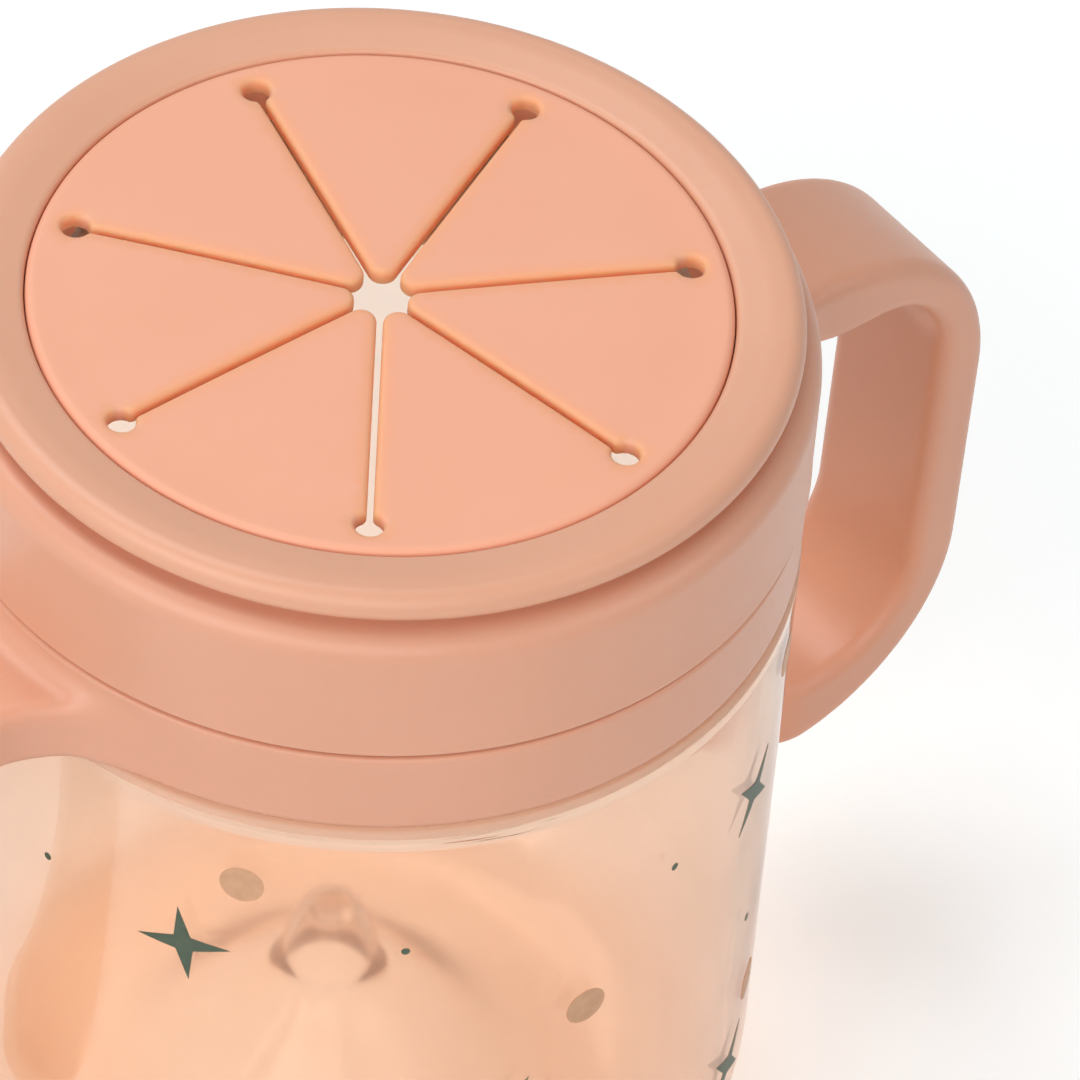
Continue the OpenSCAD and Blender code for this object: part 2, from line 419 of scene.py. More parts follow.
@dataclass
class Board:
    """A node tree with short ways to add nodes and to join them."""

    tree: bpy.types.NodeTree

    def add(self, kind: str, settings: dict | None = None, **inputs) -> bpy.types.Node:
        """Adds a node.

        Args:
            kind: The node's type.
            settings: Properties of the node.
            **inputs: Values or sockets for its inputs, by name with _ for a space, or by i and number.

        Returns:
            The node.
        """
        node = self.tree.nodes.new(kind)
        for name, value in (settings or {}).items():
            setattr(node, name, value)
        for name, value in inputs.items():
            numbered = name[0] == "i" and name[1:].isdigit()
            socket = node.inputs[int(name[1:]) if numbered else name.replace("_", " ")]
            if isinstance(value, bpy.types.NodeSocket):
                self.tree.links.new(value, socket)
            else:
                socket.default_value = value
        return node

    def math(self, operation: str, *values) -> bpy.types.NodeSocket:
        """The result of a Math node on sockets or numbers."""
        inputs = {f"i{n}": v for n, v in enumerate(values)}
        return self.add("ShaderNodeMath", {"operation": operation}, **inputs).outputs[0]

    def blend(self, share, first, second) -> bpy.types.NodeSocket:
        """The colour that lies between two others by a share."""
        node = self.tree.nodes.new("ShaderNodeMix")
        node.data_type = "RGBA"
        for socket, value in ((node.inputs[0], share), (node.inputs[6], first), (node.inputs[7], second)):
            if isinstance(value, bpy.types.NodeSocket):
                self.tree.links.new(value, socket)
            else:
                socket.default_value = value
        return node.outputs[2]

    def ramp(self, value, low: float, high: float, to_low: float = 0.0, to_high: float = 1.0):
        """Maps a value from one range to another, held at both ends."""
        node = self.add("ShaderNodeMapRange", None, i0=value, i1=low, i2=high, i3=to_low, i4=to_high)
        return node.outputs[0]

    def bump(self, height, reach: float, **inputs) -> bpy.types.NodeSocket:
        """The normal of a surface that swells by a height of up to a reach in metres."""
        node = self.add("ShaderNodeBump", None, Strength=1.0, Distance=reach, Height=height, **inputs)
        return node.outputs[0]


def linear(colour: Colour) -> tuple[float, float, float, float]:
    """A colour as a screen shows it, 0 to 255, as the linear values that Blender takes."""
    shares = [c / 255 for c in colour]
    made = [s / 12.92 if s <= 0.04045 else ((s + 0.055) / 1.055) ** 2.4 for s in shares]
    return (made[0], made[1], made[2], 1.0)


def new_material(name: str) -> tuple[bpy.types.Material, Board, bpy.types.Node]:
    """A material with an empty tree and its output node."""
    material = bpy.data.materials.new(name)
    material.use_nodes = True
    material.node_tree.nodes.clear()
    board = Board(material.node_tree)
    return material, board, board.add("ShaderNodeOutputMaterial")


@dataclass(frozen=True)
class Moulded:
    """A moulded plastic or rubber: two close tones, a fine grain and an uneven sheen."""

    name: str
    tone: Colour
    other_tone: Colour
    roughness: tuple[float, float] = (0.4, 0.5)
    grain_scale: float = 2600.0
    grain_height: float = 0.000004
    swell_scale: float = 90.0
    swell_height: float = 0.00002
    specular: float = 0.5
    ior: float = 1.49
    glow: float = 0.0
    glow_reach: float = 0.001
    glow_spread: tuple[float, float, float] = (1.0, 0.45, 0.3)
    # painted glow: a deeper orange at slits and holes that stands in for light passing through the silicone
    painted_lip_glow: Colour | None = None

    def build(self) -> bpy.types.Material:
        """Builds the material's nodes."""
        material, board, output = new_material(self.name)
        place = board.add("ShaderNodeTexCoord").outputs["Object"]
        clouds = board.add("ShaderNodeTexNoise", None, Vector=place, Scale=70.0, Detail=3.0, Roughness=0.55)
        grain = board.add("ShaderNodeTexNoise", None, Vector=place, Scale=self.grain_scale, Detail=2.0)
        swell = board.add("ShaderNodeTexNoise", None, Vector=place, Scale=self.swell_scale, Detail=1.0)
        share = board.ramp(clouds.outputs[0], *CLOUD)
        tone = board.blend(share, linear(self.tone), linear(self.other_tone))
        lip = None
        # Painted glow: near slits and holes the tone turns a deeper orange, standing in for light that passes
        # through the thin silicone; the subsurface weight below is real scattered light.
        if self.painted_lip_glow:
            lip = board.add("ShaderNodeAttribute", {"attribute_name": LIP}).outputs["Fac"]
            tone = board.blend(lip, tone, linear(self.painted_lip_glow))
        rough = board.ramp(grain.outputs[0], *CLOUD, *self.roughness)
        swells = board.bump(swell.outputs[0], self.swell_height)
        grains = board.bump(grain.outputs[0], self.grain_height, Normal=swells)
        skin = board.add("ShaderNodeBsdfPrincipled", None, Base_Color=tone, Roughness=rough,
                         Normal=grains, IOR=self.ior)
        skin.inputs["Specular IOR Level"].default_value = self.specular
        if self.glow:
            skin.inputs["Subsurface Weight"].default_value = self.glow
            if lip:
                board.tree.links.new(board.math("MULTIPLY", lip, self.glow), skin.inputs["Subsurface Weight"])
            skin.inputs["Subsurface Radius"].default_value = self.glow_spread
            skin.inputs["Subsurface Scale"].default_value = self.glow_reach
        board.tree.links.new(skin.outputs[0], output.inputs[0])
        return material


@dataclass(frozen=True)
class ClearTint:
    """A clear plastic that lamps shine through: faintly toned at its faces, tinted through its depth."""

    name: str
    face: tuple[float, float, float]
    other_face: tuple[float, float, float]
    depth_colour: tuple[float, float, float]
    depth_density: float
    haze_tone: Colour
    haze: tuple[float, float] = (0.1, 0.16)
    shade: tuple[float, float, float] = (0.902, 0.886, 0.866)
    ior: float = 1.46
    roughness: tuple[float, float] = (0.04, 0.08)
    flow_height: float = 0.00006

    def build(self) -> bpy.types.Material:
        """Builds the material's nodes."""
        material, board, output = new_material(self.name)
        place = board.add("ShaderNodeTexCoord").outputs["Object"]
        clouds = board.add("ShaderNodeTexNoise", None, Vector=place, Scale=40.0, Detail=2.0)
        flow = board.add("ShaderNodeTexNoise", None, Vector=place, Scale=55.0, Detail=1.0)
        uneven = board.ramp(clouds.outputs[0], *CLOUD)
        face = board.blend(uneven, (*self.face, 1.0), (*self.other_face, 1.0))
        rough = board.ramp(clouds.outputs[0], *CLOUD, *self.roughness)
        clear = board.add("ShaderNodeBsdfPrincipled", None, Base_Color=face, Roughness=rough,
                          Normal=board.bump(flow.outputs[0], self.flow_height), IOR=self.ior)
        clear.inputs["Transmission Weight"].default_value = 1.0
        haze = board.add("ShaderNodeBsdfTranslucent")
        haze.inputs[0].default_value = linear(self.haze_tone)
        milky = board.add("ShaderNodeBsdfDiffuse")
        milky.inputs[0].default_value = linear(self.haze_tone)
        both = board.add("ShaderNodeMixShader", None, i0=0.5, i1=haze.outputs[0], i2=milky.outputs[0])
        body = board.add("ShaderNodeMixShader", None, i0=board.ramp(clouds.outputs[0], *CLOUD, *self.haze),
                         i1=clear.outputs[0], i2=both.outputs[0])
        passed = board.add("ShaderNodeBsdfTransparent")
        passed.inputs[0].default_value = (*self.shade, 1.0)
        rays = board.add("ShaderNodeLightPath")
        mixed = board.add("ShaderNodeMixShader", None, i0=rays.outputs["Is Shadow Ray"],
                          i1=body.outputs[0], i2=passed.outputs[0])
        board.tree.links.new(mixed.outputs[0], output.inputs[0])
        depth = board.add("ShaderNodeVolumeAbsorption", None, Density=self.depth_density)
        depth.inputs[0].default_value = (*self.depth_colour, 1.0)
        board.tree.links.new(depth.outputs[0], output.inputs["Volume"])
        return material


@dataclass(frozen=True)
class PrintInk:
    """A thin printed ink with slightly uneven cover."""

    name: str
    tone: Colour
    other_tone: Colour
    roughness: float = 0.5
    cover_height: float = 0.000003

    def build(self) -> bpy.types.Material:
        """Builds the material's nodes."""
        material, board, output = new_material(self.name)
        place = board.add("ShaderNodeTexCoord").outputs["Object"]
        cover = board.add("ShaderNodeTexNoise", None, Vector=place, Scale=900.0, Detail=3.0)
        share = board.ramp(cover.outputs[0], 0.35, 0.65)
        tone = board.blend(share, linear(self.tone), linear(self.other_tone))
        ink = board.add("ShaderNodeBsdfPrincipled", None, Base_Color=tone, Roughness=self.roughness,
                        Normal=board.bump(cover.outputs[0], self.cover_height))
        board.tree.links.new(ink.outputs[0], output.inputs[0])
        return material


class Slot(Enum):
    """Names of the material slots."""

    CLEAR = "clear_cup"
    SATIN = "satin_plastic"
    RING = "ring_plastic"
    SOFT = "silicone"


def dress(piece: bpy.types.Object, material: bpy.types.Material, slot: Slot | None, *nodes: str) -> None:
    """Gives a piece its finish and the CAD nodes that it stands for.

    Args:
        piece: The piece.
        material: Its material.
        slot: A material slot name for it, or None for a print; not used.
        *nodes: The CAD nodes that it replaces.
    """
    piece.data.materials.clear()
    piece.data.materials.append(material)
    if nodes:
        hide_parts(*nodes)
    faces = len(piece.data.polygons)
    LOG.info("%s: %d faces, stands for %s", piece.name, faces, ", ".join(nodes) or "itself")


# ---------------------------------------------------------------- geometry nodes


class Tree:
    """A Geometry Nodes tree with named inputs that makes one plain mesh."""

    def __init__(self, name: str) -> None:
        """Starts an empty tree with a geometry output."""
        self.tree = bpy.data.node_groups.new(name, "GeometryNodeTree")
        self.board = Board(self.tree)
        self.tree.interface.new_socket("Geometry", in_out="OUTPUT", socket_type="NodeSocketGeometry")
        self.source = self.board.add("NodeGroupInput")
        self.output = self.board.add("NodeGroupOutput")
        self.values: dict[str, object] = {}

    def given(self, name: str, value, kind: str = "NodeSocketFloat") -> bpy.types.NodeSocket:
        """Adds a named input with the value that the modifier sets, and returns its socket."""
        socket = self.tree.interface.new_socket(name, in_out="INPUT", socket_type=kind)
        self.values[socket.identifier] = value
        return self.source.outputs[name]

    def finish(self, name: str, geometry: bpy.types.NodeSocket,
               material: bpy.types.Material) -> bpy.types.Object:
        """Ends the tree, evaluates it and returns the result as a plain mesh object.

        Args:
            name: Name of the piece.
            geometry: The geometry to show.
            material: The material to set.

        Returns:
            The object, with no modifier left on it.
        """
        finish = self.given("Finish", material, "NodeSocketMaterial")
        real = self.board.add("GeometryNodeRealizeInstances", None, Geometry=geometry)
        dressed = self.board.add("GeometryNodeSetMaterial", None, Geometry=real.outputs[0], Material=finish)
        self.tree.links.new(dressed.outputs[0], self.output.inputs[0])
        piece = bpy.data.objects.new(name, bpy.data.meshes.new(name))
        bpy.context.scene.collection.objects.link(piece)
        modifier = piece.modifiers.new("shape", "NODES")
        modifier.node_group = self.tree
        for identifier, value in self.values.items():
            modifier[identifier] = value
        graph = bpy.context.evaluated_depsgraph_get()
        made = bpy.data.meshes.new_from_object(piece.evaluated_get(graph), depsgraph=graph)
        piece.modifiers.clear()
        piece.data = made
        made.name = name
        draft = bmesh.new()
        draft.from_mesh(made)
        bmesh.ops.remove_doubles(draft, verts=draft.verts, dist=1e-7)
        if draft.calc_volume(signed=True) < 0:
            bmesh.ops.reverse_faces(draft, faces=draft.faces)
        draft.to_mesh(made)
        draft.free()
        made.shade_smooth()
        made.set_sharp_from_angle(angle=math.radians(40))
        return piece


@dataclass(frozen=True)
class ThreadRidge:
    """One start of a right-handed screw thread, as a ridge that stands on a round wall."""

    name: str
    wall_r: float
    height: float
    foot: float
    crest: float
    start_z: float
    turns: float
    lead: float
    start_angle: float
    outward: bool

    def build(self, material: bpy.types.Material) -> bpy.types.Object:
        """Builds the ridge with Geometry Nodes.

        Args:
            material: The finish of the wall that it stands on.

        Returns:
            The ridge's object.
        """
        tree = Tree(self.name)
        board = tree.board
        radius = tree.given("Wall radius", self.wall_r * MM)
        height = tree.given("Ridge height", self.height * MM)
        foot = tree.given("Foot width", self.foot * MM)
        crest = tree.given("Crest width", self.crest * MM)
        turns = tree.given("Turns", self.turns)
        lead = tree.given("Lead", self.lead * MM)
        base = tree.given("Start height", self.start_z * MM)
        angle = tree.given("Start angle", math.radians(self.start_angle))
        points = board.add("GeometryNodeCurvePrimitiveLine", {"mode": "POINTS"})
        count = board.math("ROUND", board.math("MULTIPLY", turns, 96.0))
        path = board.add("GeometryNodeResampleCurve", {"mode": "COUNT"}, Curve=points.outputs[0], Count=count)
        share = board.add("GeometryNodeSplineParameter").outputs["Factor"]
        turn = board.math("MULTIPLY", share, board.math("MULTIPLY", turns, 2 * math.pi))
        around = board.math("ADD", turn, angle)
        rise = board.math("MULTIPLY", share, board.math("MULTIPLY", turns, lead))
        x = board.math("MULTIPLY", radius, board.math("COSINE", around))
        y = board.math("MULTIPLY", radius, board.math("SINE", around))
        spot = board.add("ShaderNodeCombineXYZ", None, X=x, Y=y, Z=board.math("ADD", base, rise))
        placed = board.add("GeometryNodeSetPosition", None, Geometry=path.outputs[0],
                           Position=spot.outputs[0])
        level = board.add("GeometryNodeSetCurveNormal", {"mode": "Z_UP"}, Curve=placed.outputs[0])
        run_in = board.ramp(share, 0.0, 0.06, 0.02, 1.0)
        run_out = board.ramp(share, 0.94, 1.0, 1.0, 0.02)
        ends = board.math("MULTIPLY", run_in, run_out)
        faded = board.add("GeometryNodeSetCurveRadius", None, Curve=level.outputs[0], Radius=ends)
        section = self.section(board, height, foot, crest)
        swept = board.add("GeometryNodeCurveToMesh", None, Curve=faded.outputs[0], Profile_Curve=section)
        swept.inputs["Fill Caps"].default_value = True
        return tree.finish(self.name, swept.outputs[0], material)

    def section(self, board: Board, height, foot, crest) -> bpy.types.NodeSocket:
        """The ridge's section: its foot is sunk a little into the wall and its crest stands off it.

        Args:
            board: The tree's board.
            height: Socket of the ridge's height.
            foot: Socket of the width at the wall.
            crest: Socket of the width at the crest.

        Returns:
            The socket of the section's curve.
        """
        sunk = 0.15 * MM
        side = 1 if self.outward else -1
        tall = board.math("ADD", height, sunk)
        outline = board.add("GeometryNodeCurvePrimitiveQuadrilateral", {"mode": "TRAPEZOID"}, Height=tall,
                            Bottom_Width=foot, Top_Width=crest, Offset=0.0)
        above = board.math("SUBTRACT", board.math("MULTIPLY", tall, 0.5), sunk)
        shift = board.add("ShaderNodeCombineXYZ", None, X=board.math("MULTIPLY", above, float(side)))
        turned_up = board.add("GeometryNodeTransform", None, Geometry=outline.outputs[0],
                              Translation=shift.outputs[0])
        turned_up.inputs["Rotation"].default_value = (0.0, 0.0, -side * math.pi / 2)
        return turned_up.outputs[0]


class Motif(Enum):
    """The printed motifs: how many points, how wide the waist is and how finely it is cut."""

    STAR = (4, 0.26, 3)
    DOT = (12, 1.0, 1)
    SPECK = (5, 1.0, 0)


@dataclass(frozen=True)
class PrintLayer:
    """One ink of the print: a motif repeated in staggered rows round the cup."""

    name: str
    motif: Motif
    size: float
    columns: int
    rows: int
    low_z: float
    row_step: float
    shift: float
    drift: float
    seed: int

    def build(self, side_r: float, draft: float, material: bpy.types.Material) -> bpy.types.Object:
        """Builds the layer with Geometry Nodes, flat first and then wrapped round the cup.

        Args:
            side_r: The cup's outer radius at the table.
            draft: How much the side draws in for each millimetre of height.
            material: The ink.

        Returns:
            The layer's object.
        """
        tree = Tree(self.name)
        board = tree.board
        radius = tree.given("Side radius", side_r * MM)
        slope = tree.given("Draft", draft)
        size = tree.given("Motif size", self.size * MM)
        columns = tree.given("Columns", self.columns, "NodeSocketInt")
        rows = tree.given("Rows", self.rows, "NodeSocketInt")
        low = tree.given("Lowest row", self.low_z * MM)
        step = tree.given("Row step", self.row_step * MM)
        shift = tree.given("Shift", self.shift / 360)
        drift = tree.given("Drift", self.drift * MM)
        seed = tree.given("Seed", self.seed, "NodeSocketInt")
        thick = tree.given("Ink thickness", 0.03 * MM)
        count, waist, level = self.motif.value
        index = board.add("GeometryNodeInputIndex").outputs[0]
        row = board.math("FLOOR", board.math("DIVIDE", board.math("ADD", index, 0.5), columns))
        column = board.math("SUBTRACT", index, board.math("MULTIPLY", row, columns))
        stagger = board.math("MULTIPLY", board.math("MODULO", row, 2.0), 0.5)
        share = board.math("ADD", board.math("DIVIDE", board.math("ADD", column, stagger), columns), shift)
        along = board.math("MULTIPLY", share, board.math("MULTIPLY", radius, 2 * math.pi))
        up = board.math("ADD", low, board.math("MULTIPLY", row, step))
        wander = []
        for n in range(2):
            value = board.add("FunctionNodeRandomValue", {"data_type": "FLOAT"})
            value.inputs[2].default_value = -1.0
            value.inputs[3].default_value = 1.0
            board.tree.links.new(board.math("ADD", seed, float(n * 17)), value.inputs["Seed"])
            wander.append(board.math("MULTIPLY", value.outputs[1], drift))
        spot = board.add("ShaderNodeCombineXYZ", None, X=board.math("ADD", along, wander[0]),
                         Y=board.math("ADD", up, wander[1]))
        spots = board.add("GeometryNodePoints", None, Count=board.math("MULTIPLY", columns, rows),
                          Position=spot.outputs[0])
        star = board.add("GeometryNodeCurveStar", None, Points=count, Outer_Radius=size,
                         Inner_Radius=board.math("MULTIPLY", size, waist))
        flat = board.add("GeometryNodeFillCurve", None, Curve=star.outputs[0])
        fine = board.add("GeometryNodeSubdivideMesh", None, Mesh=flat.outputs[0], Level=level)
        tilt = board.add("ShaderNodeCombineXYZ", None, Z=board.math("MULTIPLY", wander[0], 900.0))
        copies = board.add("GeometryNodeInstanceOnPoints", None, Points=spots.outputs[0],
                           Instance=fine.outputs[0], Rotation=tilt.outputs[0])
        real = board.add("GeometryNodeRealizeInstances", None, Geometry=copies.outputs[0])
        flat_place = board.add("GeometryNodeInputPosition").outputs[0]
        place = board.add("ShaderNodeSeparateXYZ", None, Vector=flat_place)
        angle = board.math("DIVIDE", place.outputs[0], radius)
        out = board.math("SUBTRACT", board.math("ADD", radius, 0.01 * MM),
                         board.math("MULTIPLY", place.outputs[1], slope))
        x = board.math("MULTIPLY", out, board.math("COSINE", angle))
        y = board.math("MULTIPLY", out, board.math("SINE", angle))
        wrapped = board.add("ShaderNodeCombineXYZ", None, X=x, Y=y, Z=place.outputs[1])
        bent = board.add("GeometryNodeSetPosition", None, Geometry=real.outputs[0],
                         Position=wrapped.outputs[0])
        grown = board.add("GeometryNodeExtrudeMesh", {"mode": "FACES"}, Mesh=bent.outputs[0],
                          Offset_Scale=thick, Individual=False)
        back = board.add("GeometryNodeFlipFaces", None, Mesh=bent.outputs[0])
        both = board.add("GeometryNodeJoinGeometry")
        board.tree.links.new(grown.outputs[0], both.inputs[0])
        board.tree.links.new(back.outputs[0], both.inputs[0])
        whole = board.add("GeometryNodeMergeByDistance", None, Geometry=both.outputs[0], Distance=0.001 * MM)
        return tree.finish(self.name, whole.outputs[0], material)


# ---------------------------------------------------------------- the container's own pieces


@dataclass
class Cup:
    """The clear blown cup: its pushed-up base, side, shoulder and neck."""

    side_r: float = SIDE_R
    draft: float = DRAFT
    wall: float = 2.0
    shoulder_z: float = 74.7
    shoulder_round: float = 0.7
    shoulder_wall: float = 2.1
    neck_r: float = 34.4
    neck_wall: float = 2.6
    rim_z: float = 94.4
    base_round: float = 15.0
    foot_r: float = 23.0
    punt_h: float = 15.5  # the pushed-up middle of the base
    dome_r: float = 3.6
    dome_rise: float = 5.6
    dome_foot: float = 2.2  # the fillet round the dome
    dome_wall: float = 0.8
    nub_r: float = 1.5  # the gate's flat nub, under the dome
    nub_h: float = 0.5
    nub_edge: float = 0.6
    nub_drop: float = 0.5

    def side(self, z: float) -> float:
        """Outer radius of the side at a height."""
        return self.side_r - self.draft * z

    def punt(self, r: float) -> float:
        """Height of the pushed-up middle of the base at a radius."""
        return self.punt_h * math.cos(math.pi / 2 * min(r / self.foot_r, 1)) ** 2

    def dome(self, r: float, reach: float) -> float:
        """Height of the round-topped dome over the gate at a radius, with a fillet outside its reach."""
        if r < reach:
            return self.dome_foot + self.dome_rise * (1 - (r / reach) ** 2) ** 0.5
        near = max(1 - (r - reach) / self.dome_foot, 0)
        return self.dome_foot * (1 - (1 - near ** 2) ** 0.5)

    def under(self, r: float) -> float:
        """Height of the base's underside at a radius, with the gate's flat nub hanging in the dome."""
        rise = self.punt(r) + self.dome(r, self.dome_r)
        share = min(max((self.nub_r + self.nub_edge / 2 - r) / self.nub_edge, 0), 1)
        level = self.punt_h + self.dome_foot + self.dome_rise - self.nub_drop - self.nub_h
        return rise + (level - rise) * share * share * (3 - 2 * share)

    def floor(self, r: float) -> float:
        """Height of the cup's floor at a radius."""
        return self.wall + self.punt(r) + self.dome(r, self.dome_r + self.dome_wall)

    def outline(self) -> list[Point2]:
        """The cup's section, from the middle of the underside out, up and back in to the floor's middle."""
        centre = self.side(self.base_round) - self.base_round
        under = [(r, self.under(r)) for r in self.base_radii(self.dome_r)]
        round_out = arc(centre, self.base_round, self.base_round, -84, 0, 4)
        shoulder = rounded([
            Corner(round_out[-1][0], round_out[-1][1]),
            Corner(self.side(self.shoulder_z), self.shoulder_z, self.shoulder_round),
            Corner(self.neck_r, self.shoulder_z, 0.5),
            Corner(self.neck_r, self.rim_z, 0.8),
            Corner(self.neck_r - self.neck_wall, self.rim_z, 0.6),
            Corner(self.neck_r - self.neck_wall, self.shoulder_z - 0.5, 1.5),
            Corner(self.side(self.shoulder_z) - self.wall, self.shoulder_z - self.shoulder_wall, 1.5),
            Corner(self.side(self.base_round) - self.wall, self.base_round),
        ], closed=False)
        round_in = arc(centre, self.base_round, self.base_round - self.wall, 0, -84, 4)
        floor = [(r, self.floor(r)) for r in reversed(self.base_radii(self.dome_r + self.dome_wall))]
        return supported(under + round_out[:-1] + shoulder + round_in[1:] + floor, closed=False)

    def base_radii(self, reach: float) -> list[float]:
        """Radii from the axis to the foot, close together where the dome turns down and out.

        Args:
            reach: Radius of the dome.

        Returns:
            The radii in order.
        """
        on_dome = [reach * math.sin(math.radians(a)) for a in range(0, 91, 5)]
        edge = reach + self.dome_foot
        on_foot = [edge - self.dome_foot * math.cos(math.radians(a)) for a in range(10, 91, 10)]
        return on_dome + on_foot + [edge + (self.foot_r - edge) * i / 36 for i in range(1, 37)]

    def glow_band_outline(self) -> list[Point2]:
        """Section of a milky band on the shoulder's edge, just below the collar: a painted highlight that
        stands in for light carried through the thick shoulder.
        """
        side = self.side(self.shoulder_z)
        return supported(rounded([
            Corner(side - 1.6, self.shoulder_z - 0.5, 0.2),
            Corner(side + 0.02, self.shoulder_z - 0.5, 0.2),
            Corner(side + 0.02, self.shoulder_z + 0.25, 0.5),
            Corner(side - 1.6, self.shoulder_z + 0.25, 0.2),
        ]), closed=True)

    def build(self, clear: bpy.types.Material, glow_band_finish: bpy.types.Material) -> None:
        """Builds the cup, the milky band on its shoulder that paints the light carried through the shoulder,
        and its neck's thread.

        Args:
            clear: The tinted clear plastic.
            glow_band_finish: The milky plastic of the band, a painted highlight.
        """
        cup = turned("clear_cup", self.outline(), closed=False, steps=208)
        dress(cup, clear, Slot.CLEAR, "cup")
        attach(cup, "cup_body")
        # painted highlight: a milky band under the collar stands in for light carried through the thick clear
        # shoulder
        glow_band = turned("shoulder_glow_band", self.glow_band_outline())
        dress(glow_band, glow_band_finish, Slot.CLEAR)
        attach(glow_band, "cup_body")
        ridge = ThreadRidge(
            "neck_thread", wall_r=self.neck_r, height=0.42, foot=1.7, crest=0.8, start_z=86.2,
            turns=1.35, lead=4.0, start_angle=20.0, outward=True).build(clear)
        dress(ridge, clear, Slot.CLEAR)
        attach(ridge, "cup_body")


@dataclass(frozen=True)
class BentLine:
    """A line that runs out along the arm, down the grip and back in along the foot of a handle."""

    arm_z: float
    grip_x: float
    foot_z: float
    upper_r: float
    lower_r: float

    def away(self, x: np.ndarray, z: np.ndarray) -> np.ndarray:
        """Distance from the line.

        Args:
            x: Distance from the axis along the handles.
            z: Height.

        Returns:
            The distance at each point, negative on the axis' side.
        """
        in_x = x - self.grip_x
        arm = z - self.arm_z
        foot = self.foot_z - z
        upper = np.where(in_x < -self.upper_r, arm,
                         np.hypot(in_x + self.upper_r, arm + self.upper_r) - self.upper_r)
        lower = np.where(in_x < -self.lower_r, foot,
                         np.hypot(in_x + self.lower_r, foot + self.lower_r) - self.lower_r)
        low = np.where(z < self.foot_z + self.lower_r, lower, in_x)
        return np.where(z > self.arm_z - self.upper_r, upper, low)


